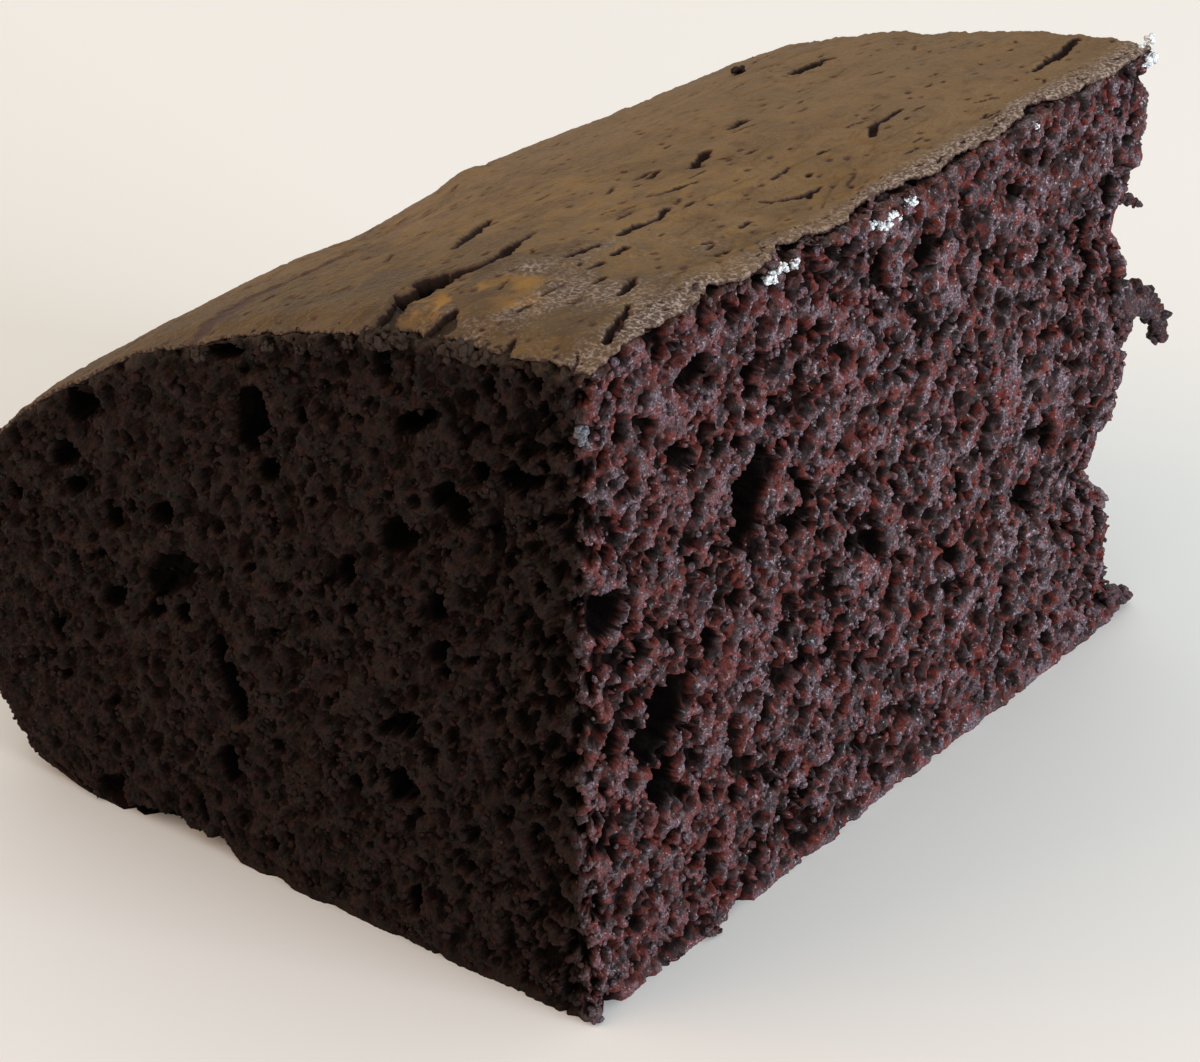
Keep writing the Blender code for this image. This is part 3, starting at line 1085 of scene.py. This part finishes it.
def crumb_places(seed):
    """Places on the walls, drawn with weight exp(-2 * depth), their sizes, and
    how wet and how lit they are painted."""
    draw = np.random.default_rng(seed)
    centres, radii, wet_and_lit_values = [], [], []
    for name, count in CRUMB_SPOTS.items():
        grid, depth, wet_and_lit = walls[name]
        out = surface_normals(grid)
        weight = np.exp(-2 * np.clip(depth, 0, 4)) * (grid[..., 2] > 0.4)
        weight[:, -UNDER_ROWS:] = 0
        weight = (weight / weight.sum()).ravel()
        chosen = draw.choice(weight.size, count, replace=False, p=weight)
        radius = 0.11 + 0.2 * draw.random(count) ** 2.5
        centres.append(grid.reshape(-1, 3)[chosen] + out.reshape(-1, 3)[chosen] * radius[:, None] * 0.5)
        radii.append(radius)
        wet_and_lit_values.append(wet_and_lit.ravel()[chosen])
    return np.concatenate(centres), np.concatenate(radii), np.concatenate(wet_and_lit_values)


crumb_pieces.append(strew("loose_crumbs", *crumb_places(131), seed=132))

# %% [markdown]
# ## Larger crumbs and glint beads
#
# A few larger bits are seen one by one, so each has a place of its own: chains
# of crumbs that hang off the torn end, crumbs at the foot, clods of broken
# crust under the front edge, white beads on the rim of the inner cut whose
# colour is a painted glint of the moist rim, and one dark blue grey bead at
# the near corner whose colour is a painted bluish reflection. Each is a clump
# of the same small balls, which looks crumbly from every side.

# %% Bits with places of their own
# Chains of crumbs, and then single clumps: x, y, z and radius.
HANGING = (
    (
        (25.1, 28.0, 26.4, 1.10),
        (25.1, 29.6, 25.8, 1.15),
        (25.0, 31.0, 25.5, 1.00),
        (25.0, 32.3, 24.6, 1.15),
        (25.0, 33.4, 23.6, 0.85),
        (25.0, 34.3, 22.5, 0.95),
        (25.0, 34.9, 21.3, 0.75),
        (25.0, 35.2, 20.4, 0.65),
    ),
    ((25.1, 28.4, 25.8, 1.00), (25.0, 29.8, 24.6, 1.00), (25.0, 29.4, 23.0, 0.80)),
    ((25.0, 27.0, 34.3, 0.55), (25.0, 28.8, 33.4, 0.50), (25.0, 30.0, 32.8, 0.36), (25.0, 30.7, 32.3, 0.34)),
    ((25.3, 30.2, 1.8, 0.95), (25.3, 31.6, 1.2, 0.75), (25.3, 32.8, 0.7, 0.50)),
    ((26.0, -19.9, 0.6, 0.50), (26.4, -19.2, 0.4, 0.40)),
    ((25.8, -31.2, 0.7, 0.50), (25.9, -31.4, 0.4, 0.45)),
)
LEG_STEPS = 3
CRUST_CLODS = (
    (9.6, -31.5, 41.9, 0.70),
    (10.7, -31.6, 42.2, 0.85),
    (11.9, -31.5, 42.4, 0.65),
    (15.8, -31.5, 43.0, 0.75),
    (17.0, -31.6, 43.3, 0.90),
    (18.3, -31.5, 43.6, 0.75),
    (19.3, -31.5, 43.8, 0.50),
    (8.0, -31.5, 41.1, 0.50),
    (5.4, -31.5, 40.2, 0.65),
    (4.2, -31.5, 39.7, 0.55),
    (1.5, -31.5, 38.8, 0.45),
    (-4.2, -31.5, 36.8, 0.60),
    (-2.6, 22.1, 37.9, 0.55),
)
# White beads on the rim of the inner cut; their colour is a painted glint.
GLINT_BEADS = (
    (25.95, -14.7, 44.2, 0.50),
    (26.00, -14.2, 43.8, 0.30),
    (25.95, -13.3, 44.3, 0.42),
    (25.90, -11.9, 44.0, 0.36),
    (25.60, -3.5, 43.4, 0.40),
    (25.65, -2.7, 43.2, 0.58),
    (25.65, -1.9, 43.1, 0.62),
    (25.60, -1.1, 43.0, 0.55),
    (25.50, -0.4, 42.9, 0.38),
    (25.40, 1.0, 43.3, 0.55),
    (25.70, 15.2, 43.6, 0.28),
    (25.60, 29.2, 44.0, 0.80),
    (25.50, 29.9, 43.4, 0.60),
    (25.40, 29.6, 44.9, 0.50),
)
# A dark blue grey bead at the near corner; its colour is a painted bluish reflection.
BLUE_GLINT_BEAD = ((25.2, -31.5, 40.7, 0.45), (25.3, -31.5, 40.2, 0.35))


def chain_rows(chain):
    """The rows of a chain with more rows between them, so that they touch."""
    at = np.linspace(0, len(chain) - 1, LEG_STEPS * (len(chain) - 1) + 1)
    return np.stack([np.interp(at, range(len(chain)), column) for column in zip(*chain)], axis=1)


def clumps(name, rows, each, share, wet_and_lit, seed, baked=0.0):
    """Balls at random places inside each row's radius, their own radius about
    a share of it."""
    draw = np.random.default_rng(seed)
    rows = np.repeat(np.array(rows), each, axis=0)
    way = draw.normal(size=(len(rows), 3))
    way = way / np.linalg.norm(way, axis=1, keepdims=True)
    reach = rows[:, 3] * (1 - 0.6 * share) * draw.random(len(rows)) ** 0.45
    radii = rows[:, 3] * share * draw.uniform(0.6, 1.3, len(rows))
    centres = rows[:, :3] + way * reach[:, None]
    return strew(name, centres, radii, np.full(len(rows), wet_and_lit), seed, baked)


hanging = np.concatenate([chain_rows(chain) for chain in HANGING])
crumb_pieces.append(clumps("hanging_crumbs", hanging, 12, 0.42, 0.5, 141))
crumb_pieces.append(clumps("crust_clods", CRUST_CLODS, 34, 0.30, 0.12, 142, 0.9))
bead_pieces = [clumps("glint_beads", GLINT_BEADS, 26, 0.30, 1.0, 143)]
bead_pieces.append(clumps("blue_glint_bead", BLUE_GLINT_BEAD, 26, 0.50, 0.1, 144))

# %% [markdown]
# ## Finishes
#
# A material is a small program. Two classes make it readable: one wraps a
# socket, so that sums on it become Math nodes, and the other makes the nodes.

# %% Sums on sockets
class Wire:
    """A node's output that can stand in a sum: a + b, a - b, a * b, 1 - a."""

    def __init__(self, finish, socket):
        self.finish, self.socket = finish, socket

    def __add__(self, other):
        return self.finish.maths("ADD", self, other)

    def __sub__(self, other):
        return self.finish.maths("SUBTRACT", self, other)

    def __rsub__(self, other):
        return self.finish.maths("SUBTRACT", other, self)

    def __mul__(self, other):
        return self.finish.maths("MULTIPLY", self, other)

    __radd__, __rmul__ = __add__, __mul__


class Finish:
    """A material in the making."""

    def __init__(self, name):
        self.material = bpy.data.materials.new(name)
        self.material.use_nodes = True
        self.tree = self.material.node_tree
        self.shader = self.tree.nodes["Principled BSDF"]

    def node(self, kind, settings, inputs, output=0):
        """Makes a node, sets its settings, then its inputs by name or number."""
        made = self.tree.nodes.new(kind)
        for key, value in settings.items():
            setattr(made, key, value)
        for key, value in inputs.items():
            self.feed(made.inputs[key], value)
        return Wire(self, made.outputs[output])

    def feed(self, socket, value):
        """Links a wire to a socket, or sets the socket's own value."""
        if isinstance(value, Wire):
            self.tree.links.new(value.socket, socket)
        else:
            socket.default_value = value

    def maths(self, operation, first, second):
        """One sum, named by its operation, on two wires or numbers."""
        return self.node("ShaderNodeMath", {"operation": operation}, {0: first, 1: second})

    def paint(self, name):
        """A named value of the mesh's points."""
        return self.node("ShaderNodeAttribute", {"attribute_name": name}, {}, "Fac")

    def place(self, scale):
        """Object coordinates, stretched by a scale along each axis. A scale of
        1 needs no node of its own."""
        where = self.node("ShaderNodeTexCoord", {}, {}, "Object")
        if scale == (1, 1, 1):
            return where
        return self.node("ShaderNodeMapping", {}, {"Vector": where, "Scale": scale})

    def height_of(self, axis):
        """One of the object coordinates, in metres."""
        return self.node("ShaderNodeSeparateXYZ", {}, {0: self.place((1, 1, 1))}, axis)

    def noise(self, size, detail, stretch=(1, 1, 1)):
        """Noise from 0 to 1 whose swells are about the given size, in mm."""
        inputs = {"Vector": self.place(stretch), "Scale": 1 / (size * MM), "Detail": detail}
        return self.node("ShaderNodeTexNoise", {}, inputs)

    def window(self, value, low_edge, high_edge):
        """0 below one edge and 1 above the other, eased between."""
        settings = {"interpolation_type": "SMOOTHSTEP"}
        inputs = {"Value": value, "From Min": low_edge, "From Max": high_edge}
        return self.node("ShaderNodeMapRange", settings, inputs)

    def colour(self, factor, first, second):
        """A blend of two colours: 0 gives the first and 1 the second."""
        settings = {"data_type": "RGBA", "clamp_factor": True}
        first, second = ((*c, 1.0) if isinstance(c, tuple) else c for c in (first, second))
        return self.node("ShaderNodeMix", settings, {0: factor, 6: first, 7: second}, 2)

    def bump(self, height, distance, strength):
        """Turns a height from 0 to 1 into a normal; distance is its mm."""
        inputs = {"Height": height, "Distance": distance * MM, "Strength": strength}
        return self.node("ShaderNodeBump", {}, inputs, "Normal")

    def finish(self, **sockets):
        """Sets the shader's sockets and gives the material."""
        for key, value in sockets.items():
            self.feed(self.shader.inputs[key.replace("_", " ")], value)
        return self.material


# %% [markdown]
# ## The crumb's finish
#
# Devil's food crumb is nearly black, with red where light gets into it and a
# greasy, moist gloss. Colour therefore comes from how deep a point lies, how
# wet it is, a random tint for each granule, and noise. Light is painted in as
# well: the lit inner cut is painted lighter and the front cut darker, as in
# shade, the ridges get a painted lilac grey sheen, and deep pores and hollows
# are painted in shade towards black. The baked skin of the tin side is the
# same material, duller.

# %% Crumb
def crumb_finish():
    """Painted light: the lit side lighter, ridges with a lilac grey painted sheen,
    granules red in patches, and depths painted in shade towards black.
    """
    make = Finish("crumb_wet_and_lit")
    deep, tint, skin = make.paint("deep"), make.paint("tint"), make.paint("skin")
    wet_and_lit, baked = make.paint("wet_and_lit"), make.paint("baked")
    grit = make.noise(0.16, 1.0)
    ridge = make.window(deep, 0.30, 0.02)
    clump = make.window(make.noise(1.9, 1.0), 0.36, 0.62)
    # Painted shade and light: the front cut gets the darker colours, as in shade, the lit inner cut the
    # lighter ones.
    shaded_side = make.colour(clump, (0.0070, 0.0044, 0.0034), (0.0118, 0.0074, 0.0057))
    lit_side = make.colour(clump, (0.0190, 0.0124, 0.0128), (0.0375, 0.0240, 0.0248))
    colour = make.colour(wet_and_lit, shaded_side, lit_side)
    # Painted sheen: proud ridges are tinted lilac grey, most on the lit inner cut.
    painted_sheen = make.colour(make.window(grit, 0.38, 0.66), (0.054, 0.036, 0.041), (0.175, 0.129, 0.149))
    colour = make.colour(ridge * (0.01 + wet_and_lit * (0.26 + 0.52 * clump)), colour, painted_sheen)
    red = make.window(make.noise(0.9, 1.0) + 0.40 * tint, 0.60, 1.00)
    colour = make.colour(red * (0.09 + 0.61 * wet_and_lit), colour, (0.110, 0.018, 0.012))
    colour = make.colour(baked * (1 - 0.4 * wet_and_lit) * 0.8, colour, (0.042, 0.029, 0.021))
    # Painted shade: the deeper a point lies in a pore or a hollow, the nearer to black its colour.
    hidden = make.window(deep, 0.32, 0.86)
    hollow_shade = make.window(deep, 0.60, 1.20)
    colour = make.colour(hidden * (0.94 - 0.06 * wet_and_lit), colour, (0.004, 0.0020, 0.0016))
    colour = make.colour(hollow_shade * 0.9, colour, (0.002, 0.0010, 0.0008))
    rise = make.window(make.height_of("Z"), 0.006, 0.020)
    tin_skin = make.colour(rise, (0.022, 0.011, 0.007), (0.050, 0.028, 0.016))
    colour = make.colour(skin * 0.8, colour, tin_skin)
    rough = make.window(grit, 0.30, 0.62) * 0.5 + 0.22 + hidden * 0.8
    film = wet_and_lit * make.window(grit, 0.50, 0.62) * (1 - hidden) * 0.45
    normal = make.bump(grit, 0.09, 0.7)
    return make.finish(
        Base_Color=colour,
        Roughness=rough,
        Normal=normal,
        Specular_IOR_Level=0.07,
        Coat_Weight=film,
        Coat_Roughness=0.18,
    )


# %% [markdown]
# ## The crust's finish
#
# Matt tan skin, streaked along the piece, greyer and shinier where sugar
# dried into it, with light grey flecks there as painted glitter, painted
# lighter towards the far end and darker towards the front as a sheen, dark on
# the broken edge, and dark in the cracks, where the bare crumb is painted in
# shade towards black.

# %% Crust
def crust_finish():
    """Brown mottled with gold, greyer where grainy with painted glitter, a painted
    sheen lighter to the far end, pink round the cracks and painted shade in them.
    """
    make = Finish("dry_crust")
    deep, rim, grainy = make.paint("deep"), make.paint("rim"), make.paint("grainy")
    # Painted sheen: the crust is painted lighter towards the far end.
    far = make.window(make.height_of("Y"), -0.020, 0.015)
    mottle = make.noise(3.5, 2.0, (1, 0.7, 1))
    streak = make.noise(0.8, 2.0, (1, 0.55, 1))
    fine = make.noise(0.25, 1.0)
    colour = make.colour(make.window(mottle, 0.35, 0.65), (0.110, 0.062, 0.026), (0.180, 0.108, 0.047))
    colour = make.colour(far * 0.6, colour, (0.178, 0.109, 0.052))
    golden = make.noise(1.4, 2.0, (1, 0.7, 1))
    gold = make.window(golden, 0.50, 0.66) * (1 - 0.8 * far)
    colour = make.colour(gold * 0.55, colour, (0.235, 0.130, 0.034))
    # Painted sheen, its darker end: the crust is painted darker towards the front cut.
    front = make.window(make.height_of("Y"), -0.010, -0.028)
    colour = make.colour(front * 0.54, colour, (0.062, 0.038, 0.019))
    flakes = make.paint("golden") * make.window(golden, 0.42, 0.56)
    colour = make.colour(flakes * 0.9, colour, (0.310, 0.155, 0.030))
    colour = make.colour(make.paint("darker") * 0.8, colour, (0.052, 0.029, 0.016))
    dark = make.window(streak, 0.52, 0.72)
    colour = make.colour(dark * 0.40, colour, (0.066, 0.036, 0.019))
    colour = make.colour(make.window(fine, 0.55, 0.8) * 0.35, colour, (0.25, 0.165, 0.085))
    # Painted glitter: grainy patches get light grey flecks that stand in for glints; their lower roughness
    # is real gloss.
    grey = make.colour(make.window(fine, 0.42, 0.66), (0.080, 0.052, 0.042), (0.380, 0.300, 0.265))
    colour = make.colour(grainy * 0.75, colour, grey)
    colour = make.colour(make.window(deep, 0.02, 0.08), colour, (0.088, 0.050, 0.039))
    broken = make.colour(make.window(fine, 0.40, 0.62), (0.045, 0.026, 0.019), (0.130, 0.086, 0.062))
    colour = make.colour(make.window(rim, 0.10, 0.30), colour, broken)
    # Painted shade: bare crumb in the cracks is painted darker, to near black, the deeper it lies.
    crumb = make.colour(make.window(deep, 0.30, 1.1), (0.030, 0.016, 0.012), (0.002, 0.001, 0.001))
    bare = make.window(deep, 0.08, 0.20) + make.window(rim, 0.45, 0.70)
    colour = make.colour(bare, colour, crumb)
    rough = 0.55 + 0.2 * mottle - 0.22 * grainy + make.window(deep, 0.1, 0.4) * 0.4
    normal = make.bump(streak * 0.7 + fine, 0.18, 0.9)
    return make.finish(Base_Color=colour, Roughness=rough, Normal=normal, Specular_IOR_Level=0.12)


# %% [markdown]
# ## The beads' finish
#
# The beads' colours are painted light: near white for the glints on the moist
# rim, dark blue grey for the bluish reflection at the near corner. A glossy
# colour with a grainy bump is enough at their size.

# %% Sugar
def glint_bead_finish():
    """Painted glints, white and faintly blue, grainy and glossy; a painted bluish
    reflection in blue grey.
    """
    make = Finish("painted_glint_beads")
    grain = make.noise(0.14, 3.0)
    # Painted glints and a painted bluish reflection: near white for the beads on the rim, blue grey for the
    # bead at the near corner.
    white = make.colour(make.window(grain, 0.35, 0.6), (0.30, 0.31, 0.32), (0.78, 0.81, 0.81))
    blue_glint = make.colour(make.window(grain, 0.45, 0.7), (0.010, 0.012, 0.022), (0.060, 0.072, 0.115))
    colour = make.colour(make.paint("wet_and_lit"), blue_glint, white)
    rough = 0.12 + 0.4 * grain
    return make.finish(Base_Color=colour, Roughness=rough, Normal=make.bump(grain, 0.12, 1.0))


FINISHED = (
    (crumb_pieces, crumb_finish(), "crumb"),
    (crust_pieces, crust_finish(), "crust"),
    (bead_pieces, glint_bead_finish(), "crust"),
)
for pieces, material, slot in FINISHED:
    for piece in pieces:
        piece.data.materials.append(material)
        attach(piece, "root")
        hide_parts("cake")

# %% [markdown]
# ## Table, light and camera
#
# The table is a large plain sheet. One window-like lamp stands low to the
# right, so the inner cut is bright and the front cut lies in shade. A warm
# room lamp and the pale sky of the world fill the rest.

# %% The table
TABLE_HALF = 1.5  # metres
TABLE_GRID = 12


def table_sheet():
    """A flat square grid, centred under the cake."""
    share = np.linspace(-TABLE_HALF, TABLE_HALF, TABLE_GRID + 1)
    x, y = np.meshgrid(share, share, indexing="ij")
    points = np.stack([x, y, np.zeros_like(x)], axis=-1).reshape(-1, 3)
    mesh = bpy.data.meshes.new("table")
    mesh.from_pydata(points, [], grid_triangles(TABLE_GRID + 1, TABLE_GRID + 1).tolist())
    table = bpy.data.objects.new("table", mesh)
    bpy.context.scene.collection.objects.link(table)
    make = Finish("pale_table")
    slow = make.noise(60.0, 2.0)
    colour = make.colour(slow, (0.78, 0.765, 0.745), (0.80, 0.785, 0.77))
    mesh.materials.append(make.finish(Base_Color=colour, Roughness=0.7))
    return table


table_sheet()

# %% The light
scene = bpy.context.scene
scene.view_settings.view_transform = "Standard"


def lamp(name, toward, distance, size, watts, colour):
    """A square lamp that looks at the cake from a direction, in metres."""
    light = bpy.data.lights.new(name, "AREA")
    light.size = size
    light.energy = watts
    light.color = colour
    holder = bpy.data.objects.new(name, light)
    way = Vector(toward).normalized()
    turn = way.to_track_quat("Z", "Y").to_matrix().to_4x4()
    holder.matrix_world = Matrix.Translation(way * distance) @ turn
    scene.collection.objects.link(holder)


lamp("window", (0.95, 0.05, 0.15), 0.90, 0.50, 12.0, (0.83, 0.88, 1.0))
lamp("room", (-0.6, -0.7, 0.5), 1.3, 1.0, 6.0, (1.0, 0.43, 0.12))
world = bpy.data.worlds.new("pale_room")
world.use_nodes = True
world.node_tree.nodes["Background"].inputs["Color"].default_value = (0.97, 1.0, 0.955, 1)
world.node_tree.nodes["Background"].inputs["Strength"].default_value = 0.86
scene.world = world

# %% The camera
AIM = np.array([0.753, 0.276, 0.498])  # shares of the cake's box
AZIMUTH, ELEVATION = np.radians((37.623, 29.211))
DISTANCE = 240.0  # mm
LENS, SENSOR = 114.0, 36.0

look = np.array(
    [
        -np.sin(AZIMUTH) * np.cos(ELEVATION),
        np.cos(AZIMUTH) * np.cos(ELEVATION),
        -np.sin(ELEVATION),
    ]
)
spot = low + AIM * (high - low) - look * DISTANCE
camera = bpy.data.objects.new("camera", bpy.data.cameras.new("camera"))
camera.data.lens, camera.data.sensor_width = LENS, SENSOR
camera.data.clip_start = 0.01
turn = Vector(look).to_track_quat("-Z", "Y").to_matrix().to_4x4()
camera.matrix_world = Matrix.Translation(Vector(spot * MM)) @ turn
scene.collection.objects.link(camera)
scene.camera = camera
print("camera at", np.round(spot, 1), "mm")
